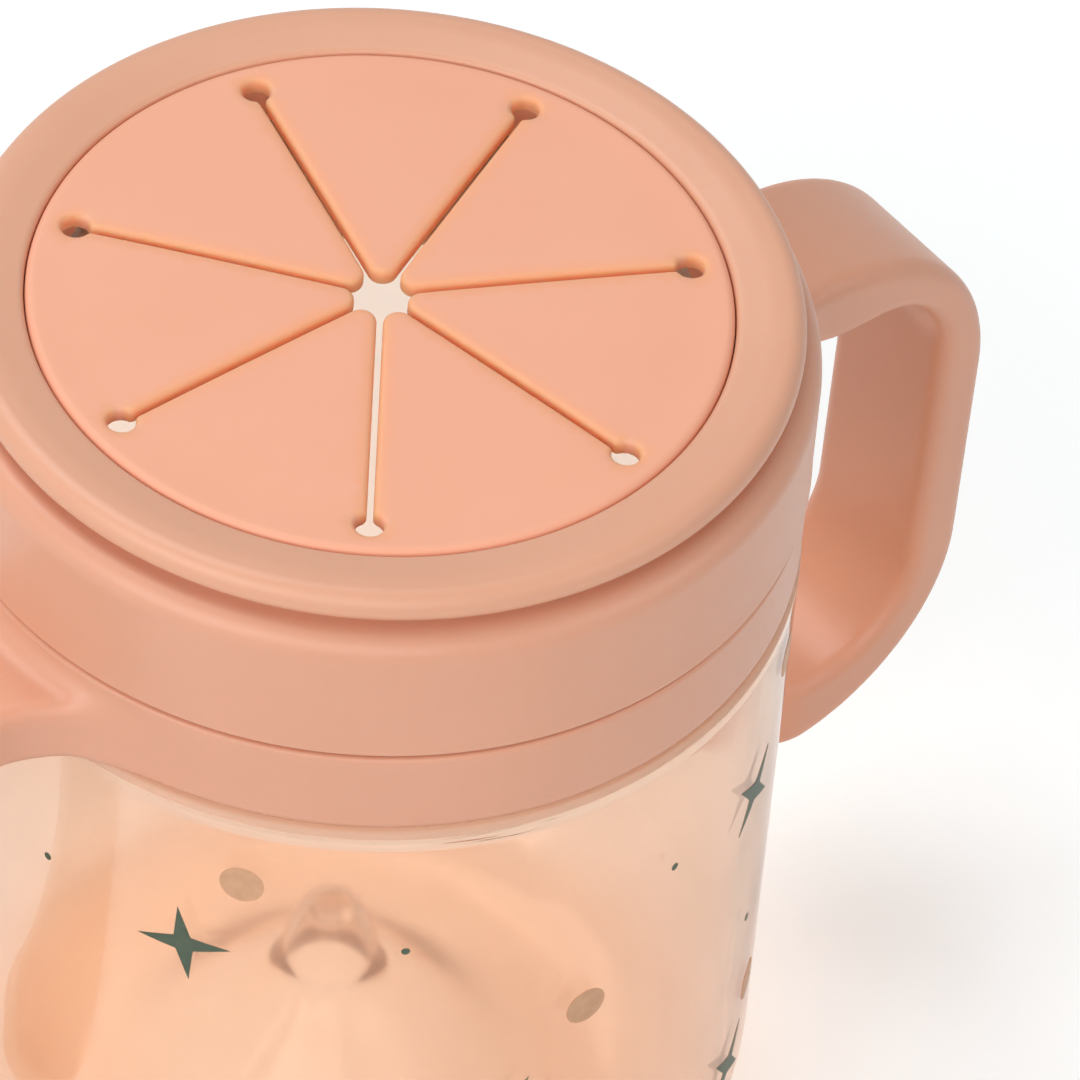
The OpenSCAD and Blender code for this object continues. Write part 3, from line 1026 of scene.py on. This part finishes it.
@dataclass
class HandleCollar:
    """The collar and its two strap handles, moulded as one, shaped by a depth function."""

    bore_r: float = 34.9
    low_z: float = 75.0
    high_z: float = 83.95
    side_r: float = SIDE_R
    draft: float = DRAFT
    edge: float = 0.3
    top_edge: float = 0.45
    low_edge: float = 1.4
    recess: float = 0.1  # how far the band lies inside the cup's side
    strap_w: float = 14.8
    strap_edge: float = 1.7
    outer_line: BentLine = BentLine(arm_z=81.7, grip_x=66.7, foot_z=20.2, upper_r=20.5, lower_r=19.3)
    inner_line: BentLine = BentLine(arm_z=74.1, grip_x=61.1, foot_z=28.0, upper_r=8.7, lower_r=10.5)
    root_lift: float = 1.0  # the arm's underside rises by this on its last stretch to the band
    lift_x: float = 49.0
    lift_l: float = 6.0
    arm_from_z: float = 60.0
    foot_to_z: float = 50.0
    tip_x: float = 50.0  # middle of the free end's rounding
    side_fillet: float = 11.0  # the strap's flare in plan where it meets the band
    top_fillet: float = 2.2
    underside_r: float = 41.5  # beyond this radius the band's flat underside doesn't cut the strap
    underside_fall: float = 60.0

    def joined(self, a: np.ndarray, b: np.ndarray, fillet: float) -> np.ndarray:
        """What lies inside either, with its inner corner filled by a fillet."""
        near = np.hypot(np.maximum(fillet - a, 0), np.maximum(fillet - b, 0))
        return np.maximum(np.minimum(a, b), fillet) - near

    def strap(self, x: np.ndarray, y: np.ndarray, z: np.ndarray) -> np.ndarray:
        """Depth in a strap: negative inside, about the distance outside.

        Args:
            x: Distance from the axis along the handles.
            y: Distance to the side.
            z: Height.

        Returns:
            The depth at each point.
        """
        near_root = np.clip((self.lift_x - x) / self.lift_l, 0, 1)
        lift = self.root_lift * near_root * near_root * (3 - 2 * near_root)
        lifted = z - lift * (z > self.arm_from_z)
        outer = self.outer_line.away(x, z)
        thick = np.maximum(outer, -self.inner_line.away(x, lifted)) + self.strap_edge
        past = np.where(z < self.foot_to_z, np.maximum(self.tip_x - x, 0), 0)
        wide = np.hypot(y, past) - self.strap_w / 2
        core = np.hypot(x, y) - self.side_r + self.draft * z + self.top_fillet
        root = core + np.maximum(self.arm_from_z - z, 0)
        wide = self.joined(wide, root, self.side_fillet) + self.strap_edge
        outside = np.hypot(np.maximum(thick, 0), np.maximum(wide, 0))
        return outside + np.minimum(np.maximum(thick, wide), 0) - self.strap_edge

    def depth(self, x: np.ndarray, y: np.ndarray, z: np.ndarray) -> np.ndarray:
        """Depth in the whole piece: negative inside.

        Args:
            x: Place along the handles.
            y: Place to the side.
            z: Height.

        Returns:
            The depth at each point.
        """
        r = np.hypot(x, y)
        strap = self.strap(np.abs(x), y, z)
        band = r - (self.side_r - self.draft * z - self.recess)
        band = self.shared(band, self.low_z - z, self.low_edge)
        whole = self.joined(band, strap, self.top_fillet)
        underside = self.low_z - np.maximum(r - self.underside_r, 0) * self.underside_fall
        whole = self.shared(whole, underside - z, self.edge)
        whole = self.shared(whole, self.bore_r - r, self.edge)
        return self.shared(whole, z - self.high_z, self.top_edge)

    def shared(self, a: np.ndarray, b: np.ndarray, edge: float) -> np.ndarray:
        """What lies inside both, with its edge rounded."""
        over = np.hypot(np.maximum(a + edge, 0), np.maximum(b + edge, 0))
        return np.minimum(np.maximum(a, b), -edge) + over

    def build(self, satin: bpy.types.Material) -> None:
        """Builds the collar.

        Args:
            satin: The satin plastic.
        """
        quarter = graded([(0, 0.42), (24, 0.42), (34, 1.6), (90, 1.6)])
        half = np.concatenate([quarter, 180 - quarter[-2::-1]])
        theta = np.radians(np.concatenate([half, 180 + half[1:-1]]))
        radius = graded([(34.3, 0.2), (34.6, 0.13), (35.5, 0.13), (36.0, 0.3), (37.2, 0.24), (37.5, 0.1),
                         (38.2, 0.1), (39.2, 0.48), (67.3, 0.48)])
        height = graded([(19.5, 0.5), (73.6, 0.5), (74.6, 0.16), (75.6, 0.16), (76.8, 0.3), (78.0, 0.5),
                         (82.4, 0.48), (83.5, 0.1), (84.4, 0.1), (84.8, 0.2)])
        t, r, z = np.meshgrid(theta, radius, height, indexing="ij")
        depth = self.depth(r * np.cos(t), r * np.sin(t), z)
        points, quads = surface_net(depth)
        t = np.interp(points[:, 0], np.arange(len(theta) + 1), np.append(theta, theta[0] + 2 * math.pi))
        r = np.interp(points[:, 1], np.arange(len(radius)), radius)
        z = np.interp(points[:, 2], np.arange(len(height)), height)
        spots = np.stack([r * np.cos(t), r * np.sin(t), z], axis=1)
        for _ in range(5):
            spots = self.settled(spots)
        collar = mesh_object("two_handle_collar", spots, quads[:, ::-1], sharp=80)
        dress(collar, satin, Slot.SATIN, "handle_collar")
        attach(collar, "collar_body")

    def settled(self, spots: np.ndarray) -> np.ndarray:
        """Moves points onto the surface along the depth's slope."""
        h = 0.01
        here = self.depth(*spots.T)
        slope = np.stack([
            self.depth(*(spots + step).T) - self.depth(*(spots - step).T)
            for step in np.eye(3) * h], axis=1) / (2 * h)
        size = np.maximum((slope ** 2).sum(axis=1), 0.04)
        move = np.clip(here / size, -0.3, 0.3)
        return spots - slope * move[:, None]


@dataclass
class Lid:
    """The screw lid: the skirt with its thread and deck, and the satin ring pressed into it."""

    side_r: float = SIDE_R
    draft: float = DRAFT
    skirt_z: float = 84.4
    skirt_top_z: float = 97.5
    skirt_bore_r: float = 35.2
    deck_z: float = 94.7
    deck_bore_r: float = 33.2
    upstand_r: float = 34.5
    plate_z: float = 99.2
    flare: float = 0.12  # the skirt widens by this over its last stretch down
    flare_h: float = 2.0
    ring_r: float = 36.12
    ring_bore_r: float = 30.1
    ring_z: float = 98.6
    top_z: float = 101.2
    plug_r: float = 31.9
    plug_z: float = 96.6

    def side(self, z: float) -> float:
        """Outer radius of the skirt at a height."""
        return self.side_r - self.draft * z

    def skirt_outline(self) -> list[Point2]:
        """Section of the skirt, its deck and its upstand."""
        return supported(rounded([
            Corner(self.skirt_bore_r, self.skirt_z, 0.25),
            Corner(self.side(self.skirt_z) + self.flare, self.skirt_z, 0.55),
            Corner(self.side(self.skirt_z), self.skirt_z + self.flare_h, 18.0),
            Corner(self.side(self.skirt_top_z), self.skirt_top_z, 2.2),
            Corner(self.upstand_r, self.skirt_top_z, 0.3),
            Corner(self.upstand_r, self.plate_z, 0.15),
            Corner(self.deck_bore_r, self.plate_z, 0.2),
            Corner(self.deck_bore_r, self.deck_z, 0.2),
            Corner(self.skirt_bore_r, self.deck_z, 0.5),
        ]), closed=True)

    def ring_outline(self) -> list[Point2]:
        """Section of the top ring and the plug below it."""
        return supported(rounded([
            Corner(self.upstand_r + 0.1, self.ring_z, 0.12),
            Corner(self.ring_r, self.ring_z, 0.9),
            Corner(self.ring_r, self.top_z, 1.6),
            Corner(self.deck_bore_r, self.top_z - 0.08, 6.0),
            Corner(self.ring_bore_r, self.top_z - 0.6, 0.7),
            Corner(self.ring_bore_r, self.plate_z - 0.8, 0.2),
            Corner(self.plug_r, self.plate_z - 0.8, 0.1),
            Corner(self.plug_r, self.plug_z, 0.2),
            Corner(self.deck_bore_r, self.plug_z, 0.3),
            Corner(self.deck_bore_r, self.plate_z),
            Corner(self.upstand_r + 0.1, self.plate_z),
        ]), closed=True)

    def build(self, satin: bpy.types.Material, ring_finish: bpy.types.Material) -> None:
        """Builds the skirt, its thread and the ring.

        Args:
            satin: The plastic of the skirt.
            ring_finish: The plastic of the top ring.
        """
        skirt = turned("lid_skirt", self.skirt_outline())
        dress(skirt, satin, Slot.SATIN, "screw_ring")
        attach(skirt, "lid_body")
        ridge = ThreadRidge(
            "skirt_thread", wall_r=self.skirt_bore_r, height=0.55, foot=1.7, crest=0.8, start_z=86.6,
            turns=1.4, lead=4.0, start_angle=200.0, outward=False).build(satin)
        dress(ridge, satin, Slot.SATIN)
        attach(ridge, "lid_body")
        ring = turned("satin_top_ring", self.ring_outline())
        dress(ring, ring_finish, Slot.RING, "top_ring")
        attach(ring, "lid_body")


@dataclass
class SlitInsert:
    """The soft insert: a rim with a flange, and seven flaps between slits that end in round holes."""

    outer_r: float = 30.0
    inner_r: float = 28.65
    flange_r: float = 32.9
    flange_z: float = 94.7
    flange_top_z: float = 96.3
    top_z: float = 100.7
    disc_z: float = 99.2
    crown: float = 0.35
    outer_round: float = 0.75
    hole_circle_r: float = 26.8
    hole_r: float = 1.22
    slit_w: float = 0.55
    tip_round: float = 1.32
    slit_corner: float = 0.6
    first_slit: float = 179.0
    slits: int = 7
    top_edge: float = 0.5
    low_edge: float = 0.2
    lip_w: float = 1.0
    lip_fade: float = 0.7
    hinge_z: float = 99.8
    bend_l: float = 4.5
    fill_step: float = 0.9

    def __post_init__(self) -> None:
        """Works out the angles that the plan is drawn from."""
        self.half = 180 / self.slits
        self.hinge_x = self.hole_circle_r * math.cos(math.radians(self.half))
        self.hole_y = self.hole_circle_r * math.sin(math.radians(self.half))

    def levels(self) -> list[tuple[float, float]]:
        """Insets and heights of the rings of an edge, from the top face to the underside."""
        upper = [math.radians(a) for a in (0, 22.5, 45, 67.5, 90)]
        lower = [math.radians(a) for a in (0, 45, 90)]
        top, low = self.top_edge, self.low_edge
        made = [(top * (1 - math.sin(a)), self.top_z - top * (1 - math.cos(a))) for a in upper]
        made += [(low * (1 - math.cos(a)), self.disc_z + low * (1 - math.sin(a))) for a in lower]
        return made

    def flap_side(self, inset: float) -> np.ndarray:
        """One side of a flap that points along +X, from the hinge chord in to the tip.

        Args:
            inset: How far the line is drawn in from the flap's outline.

        Returns:
            Points in order, the first on the chord and the last on the tip's middle.
        """
        hole = np.array([self.hinge_x, self.hole_y])
        half_slit = self.slit_w / 2
        reach = self.hole_r + self.slit_corner
        lift = math.asin((half_slit + self.slit_corner) / reach)
        inward = math.radians(180 + self.half)
        to_corner = inward + lift
        corner = hole + reach * np.array([math.cos(to_corner), math.sin(to_corner)])
        normal = math.radians(90 + self.half)
        n = np.array([math.cos(normal), math.sin(normal)])
        apex = half_slit / math.sin(math.radians(self.half))
        tip = np.array([apex + self.tip_round / math.sin(math.radians(self.half)), 0.0])
        made = [polar(self.hole_r + inset, np.linspace(math.radians(270), to_corner, 10)) + hole]
        bend = np.linspace(to_corner - math.pi, normal, 7)[1:]
        made.append(polar(self.slit_corner - inset, bend) + corner)
        start = corner + n * (self.slit_corner - inset)
        end = tip + n * (self.tip_round - inset)
        shares = np.linspace(0, 1, 40)[1:-1, None]
        made.append(start + (end - start) * shares)
        made.append(polar(self.tip_round - inset, np.linspace(normal, math.pi, 10)) + tip)
        return np.concatenate(made)

    def flap_loop(self, inset: float) -> np.ndarray:
        """The whole outline of a flap that points along +X, counter-clockwise."""
        side = self.flap_side(inset)
        mirrored = side[::-1] * (1, -1)
        across = np.linspace(-side[0, 1], side[0, 1], 25)[1:-1]
        chord = np.stack([np.full(len(across), self.hinge_x), across], axis=1)
        return np.concatenate([chord, side, mirrored[1:]])

    def crowned(self, points: np.ndarray) -> np.ndarray:
        """The points with the disc inside the ring of holes raised to a slight crown."""
        away = np.minimum(np.hypot(points[:, 0], points[:, 1]) / self.hole_circle_r, 1)
        return points + np.outer(self.crown * (1 - away ** 2), (0, 0, 1))

    def mark_lips(self, piece: bpy.types.Object, away: np.ndarray, past_hinge: np.ndarray) -> None:
        """Stores how near each point is to a slit or hole, where the soft lips let light through: the share
        drives the subsurface weight and a painted glow tone.

        Args:
            piece: The piece.
            away: Each point's distance from the nearest slit or hole.
            past_hinge: Each point's distance from the hinge chord.
        """
        share = np.clip(1 - away / self.lip_w, 0, 1) * np.clip(past_hinge / self.lip_fade, 0, 1)
        lips = piece.data.attributes.new(LIP, "FLOAT", "POINT")
        lips.data.foreach_set("value", share.astype(np.float32))

    def build_flap(self, number: int, soft: bpy.types.Material) -> None:
        """Builds one flap, from the chord between its two holes in to its tip.

        Args:
            number: The flap's number, from 1.
            soft: The silicone.
        """
        turn = self.first_slit + self.half * (2 * number - 1)
        draft = Draft()
        rings = [draft.ring(self.flap_loop(inset), z) for inset, z in self.levels()]
        for high, low in zip(rings, rings[1:]):
            draft.wall(low, high)
        draft.fill([rings[0]], self.fill_step, True)
        draft.fill([rings[-1]], self.fill_step, False)
        points = self.crowned(np.array(draft.points))
        side = self.flap_side(0)
        away = np.minimum(away_from(points[:, :2], side), away_from(points[:, :2], side * (1, -1)))
        past_hinge = self.hinge_x - points[:, 0]
        points[:, :2] = turned_xy(points[:, :2], turn)
        flap = mesh_object(f"insert_flap_{number}", points, draft.faces, sharp=60)
        self.mark_lips(flap, away, past_hinge)
        dress(flap, soft, Slot.SOFT, f"flap_{number}")
        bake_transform(flap)

    def rim_loop(self, inset: float) -> np.ndarray:
        """The rim's inner outline: the hinge chords and the outer halves of the holes, counter-clockwise."""
        made = []
        hole = np.array([self.hinge_x, self.hole_y])
        chord_y = self.hole_y - self.hole_r - inset
        across = np.linspace(-chord_y, chord_y, 25)[1:-1]
        chord = np.stack([np.full(len(across), self.hinge_x), across], axis=1)
        sweep = np.radians(np.linspace(270, 270 + 180 + 2 * self.half, 22))
        around = polar(self.hole_r + inset, sweep) + hole
        for k in range(self.slits):
            turn = self.first_slit + self.half * (2 * k + 1)
            made.append(turned_xy(np.concatenate([chord, around]), turn))
        return np.concatenate(made)

    def build_rim(self, soft: bpy.types.Material) -> None:
        """Builds the rim, which stays with the lid.

        Args:
            soft: The silicone.
        """
        steps = np.arange(RING_STEPS) * 2 * math.pi / RING_STEPS
        draft = Draft()
        inner = [draft.ring(self.rim_loop(inset), z) for inset, z in self.levels()]
        for high, low in zip(inner, inner[1:]):
            draft.wall(high, low)
        outline = supported(rounded([
            Corner(self.inner_r, self.disc_z),
            Corner(self.inner_r, self.flange_z, 0.3),
            Corner(self.flange_r, self.flange_z, 0.4),
            Corner(self.flange_r, self.flange_top_z, 0.4),
            Corner(self.outer_r, self.flange_top_z, 0.5),
            Corner(self.outer_r, self.top_z, self.outer_round),
            Corner(self.outer_r - 1.0, self.top_z),
        ], closed=False), closed=False)
        rings = [draft.ring(polar(r, steps), z) for r, z in outline]
        for low, high in zip(rings, rings[1:]):
            draft.wall(low, high)
        draft.fill([rings[-1], inner[0]], self.fill_step, True)
        draft.fill([rings[0], inner[-1]], self.fill_step, False)
        points = self.crowned(np.array(draft.points))
        rim = mesh_object("insert_rim_ring", points, draft.faces, sharp=60)
        turns = np.radians(self.first_slit + 2 * self.half * np.arange(self.slits))
        holes = polar(self.hole_circle_r, turns)
        away = np.linalg.norm(points[:, None, :2] - holes, axis=2).min(axis=1) - self.hole_r
        middles = turned_xy(holes, self.half) / self.hole_circle_r
        self.mark_lips(rim, away, (points[:, :2] @ middles.T).max(axis=1) - self.hinge_x)
        dress(rim, soft, Slot.SOFT, "insert_rim")
        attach(rim, "insert_body")

    def build(self, soft: bpy.types.Material) -> None:
        """Builds the rim and the flaps."""
        self.build_rim(soft)
        for number in range(1, self.slits + 1):
            self.build_flap(number, soft)


@dataclass
class CupPrint:
    """A plain scattered print of stars and dots round the cup."""

    side_r: float = SIDE_R
    draft: float = DRAFT

    def build(self, green: bpy.types.Material, tan: bpy.types.Material) -> None:
        """Builds the print's layers.

        Args:
            green: The dark ink.
            tan: The pale ink.
        """
        layers = [
            (PrintLayer("print_stars", Motif.STAR, size=4.4, columns=4, rows=3, low_z=18.0,
                        row_step=20.0, shift=30.0, drift=1.2, seed=3), green),
            (PrintLayer("print_dots", Motif.DOT, size=2.0, columns=4, rows=3, low_z=26.0,
                        row_step=20.0, shift=38.0, drift=1.5, seed=8), tan),
            (PrintLayer("print_specks", Motif.SPECK, size=0.4, columns=8, rows=3, low_z=16.0,
                        row_step=22.0, shift=12.0, drift=2.6, seed=21), green),
        ]
        for layer, ink in layers:
            piece = layer.build(self.side_r, self.draft, ink)
            dress(piece, ink, None)
            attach(piece, "cup_body")


# ---------------------------------------------------------------- floor, light and camera


@dataclass(frozen=True)
class SoftLamp:
    """A large square lamp that looks at the object: its direction in degrees and its power in watts."""

    name: str
    azimuth: float
    elevation: float
    power: float
    size: float = 0.9
    distance: float = 1.4
    aim_height: float = 0.05

    def build(self) -> None:
        """Adds the lamp to the scene."""
        lamp = bpy.data.lights.new(self.name, "AREA")
        lamp.shape = "SQUARE"
        lamp.size = self.size
        lamp.energy = self.power
        light = bpy.data.objects.new(self.name, lamp)
        bpy.context.scene.collection.objects.link(light)
        around = math.radians(self.azimuth)
        up = math.radians(self.elevation)
        back = Vector((math.cos(around) * math.cos(up), math.sin(around) * math.cos(up), math.sin(up)))
        light.location = back * self.distance + Vector((0, 0, self.aim_height))
        light.rotation_euler = (-back).to_track_quat("-Z", "Y").to_euler()


@dataclass
class Studio:
    """The pale floor, the soft light and the camera at the photograph's angle."""

    lamps: tuple[SoftLamp, ...] = (
        SoftLamp("soft_left", 185.0, 32.0, 7.8),
        SoftLamp("soft_front", 230.0, 32.0, 5.9),
        SoftLamp("soft_right", 300.0, 32.0, 3.3),
        SoftLamp("soft_rear_low", 95.0, 32.0, 1.5),
        SoftLamp("soft_rear_high", 95.0, 62.0, 7.9),
    )
    ambient: float = 0.18
    floor_half: float = 4000.0
    floor_tone: float = 0.8
    floor_change: float = 0.01
    lift: float = 0.24  # glow that keeps the floor white where no shadow falls
    view_tone: tuple[float, float, float] = (0.93, 0.97, 0.98)
    camera_azimuth: float = 47.5
    camera_elevation: float = 46.017
    camera_roll: float = 5.8124
    camera_distance: float = 697.02
    aim_right: float = -0.01921
    aim_down: float = -0.02935
    focal_pixels: float = 8271.3
    frame_pixels: float = 1080.0
    sensor_width: float = 36.0
    aim_z: float = 100.4

    def seen(self, board: Board) -> bpy.types.NodeSocket:
        """1 for rays from the camera, from gloss and through clear plastic, 0 for others."""
        rays = board.add("ShaderNodeLightPath")
        first = board.math("MAXIMUM", rays.outputs["Is Camera Ray"], rays.outputs["Is Glossy Ray"])
        return board.math("MAXIMUM", first, rays.outputs["Is Transmission Ray"])

    def build_world(self) -> None:
        """A white surround for the camera and an even soft light for the rest."""
        world = bpy.data.worlds.new("soft_surround")
        bpy.context.scene.world = world
        world.use_nodes = True
        world.node_tree.nodes.clear()
        board = Board(world.node_tree)
        light = board.add("ShaderNodeBackground", None, Strength=self.ambient)
        light.inputs[0].default_value = (1, 1, 1, 1)
        white = board.add("ShaderNodeBackground", None, Strength=1.0)
        white.inputs[0].default_value = (1, 1, 1, 1)
        mixed = board.add("ShaderNodeMixShader", None, i0=self.seen(board),
                          i1=light.outputs[0], i2=white.outputs[0])
        output = board.add("ShaderNodeOutputWorld")
        board.tree.links.new(mixed.outputs[0], output.inputs[0])

    def build_floor(self) -> None:
        """A wide pale floor that shows white and keeps the object's shadow."""
        half = self.floor_half
        corners = np.array([(-half, -half, 0), (half, -half, 0), (half, half, 0), (-half, half, 0)])
        floor = mesh_object("pale_floor", corners, [(0, 1, 2, 3)])
        material, board, output = new_material("pale_floor")
        place = board.add("ShaderNodeTexCoord").outputs["Object"]
        cloud = board.add("ShaderNodeTexNoise", None, Vector=place, Scale=6.0)
        low = self.floor_tone - self.floor_change
        high = self.floor_tone + self.floor_change
        tone = board.blend(cloud.outputs[0], (low, low, low, 1), (high, high, high, 1))
        plain = board.add("ShaderNodeBsdfDiffuse", None, Color=tone)
        pale = board.add("ShaderNodeBsdfDiffuse")
        pale.inputs[0].default_value = (*self.view_tone, 1.0)
        glow = board.add("ShaderNodeEmission", None, Strength=self.lift)
        shown = board.add("ShaderNodeAddShader", None, i0=pale.outputs[0], i1=glow.outputs[0])
        mixed = board.add("ShaderNodeMixShader", None, i0=self.seen(board),
                          i1=plain.outputs[0], i2=shown.outputs[0])
        board.tree.links.new(mixed.outputs[0], output.inputs[0])
        floor.data.materials.append(material)

    def build_camera(self) -> None:
        """The camera, placed by the angles and offsets worked out from the photograph."""
        azimuth = math.radians(self.camera_azimuth)
        elevation = math.radians(self.camera_elevation)
        forward = Vector((math.cos(azimuth) * math.cos(elevation), math.sin(azimuth) * math.cos(elevation),
                          -math.sin(elevation)))
        right = Vector((math.sin(azimuth), -math.cos(azimuth), 0))
        down = forward.cross(right)
        roll = math.radians(self.camera_roll)
        across = right * math.cos(roll) - down * math.sin(roll)
        below = right * math.sin(roll) + down * math.cos(roll)
        aim = Vector((0, 0, self.aim_z))
        place = aim - (across * self.aim_right + below * self.aim_down + forward) * self.camera_distance
        camera = bpy.data.cameras.new("photo_view")
        camera.sensor_width = self.sensor_width
        camera.lens = self.focal_pixels / self.frame_pixels * camera.sensor_width
        camera.clip_start = 0.01
        camera.clip_end = 20.0
        view = bpy.data.objects.new("photo_view", camera)
        bpy.context.scene.collection.objects.link(view)
        turn = Matrix((across, -below, -forward)).transposed().to_4x4()
        view.matrix_world = Matrix.Translation(place * MM) @ turn
        bpy.context.scene.camera = view

    def build(self) -> None:
        """Builds the whole studio."""
        bpy.context.scene.view_settings.view_transform = "Standard"
        self.build_world()
        self.build_floor()
        for lamp in self.lamps:
            lamp.build()
        self.build_camera()


def main() -> None:
    """Builds every piece in order."""
    logging.basicConfig(level=logging.INFO, format="%(name)s: %(message)s")
    Studio().build()
    clear = ClearTint(
        "clear_peach", face=(0.99, 0.95, 0.92), other_face=(0.99, 0.94, 0.91),
        depth_colour=(0.88, 0.52, 0.16), depth_density=104.0, haze_tone=(236, 192, 160),
        haze=(0.08, 0.13)).build()
    # The band's milky cream is a painted highlight for light carried through the cup's shoulder.
    glow_band = ClearTint(
        "clear_glow_band", face=(0.99, 0.97, 0.95), other_face=(0.99, 0.96, 0.94),
        depth_colour=(0.97, 0.9, 0.84), depth_density=10.0, haze_tone=(255, 226, 204),
        haze=(0.7, 0.8)).build()
    satin = Moulded(
        "satin_peach", tone=(227, 167, 138), other_tone=(224, 164, 135), roughness=(0.34, 0.42),
        glow=0.35, glow_reach=0.002).build()
    ring_finish = Moulded(
        "ring_peach", tone=(228, 171, 141), other_tone=(225, 168, 138), roughness=(0.34, 0.42),
        glow=0.35, glow_reach=0.002).build()
    # The silicone's deeper orange at slits and holes is a painted glow, beside its real subsurface light.
    soft = Moulded(
        "soft_peach", tone=(245, 177, 146), other_tone=(243, 174, 143), roughness=(0.55, 0.65),
        glow=1.0, glow_reach=0.003, painted_lip_glow=(250, 172, 128)).build()
    green = PrintInk("ink_green", (62, 78, 60), (70, 86, 66)).build()
    tan = PrintInk("ink_tan", (214, 165, 128), (205, 155, 118)).build()
    Cup().build(clear, glow_band)
    HandleCollar().build(satin)
    Lid().build(satin, ring_finish)
    SlitInsert().build(soft)
    CupPrint().build(green, tan)


if __name__ == "__main__":
    main()
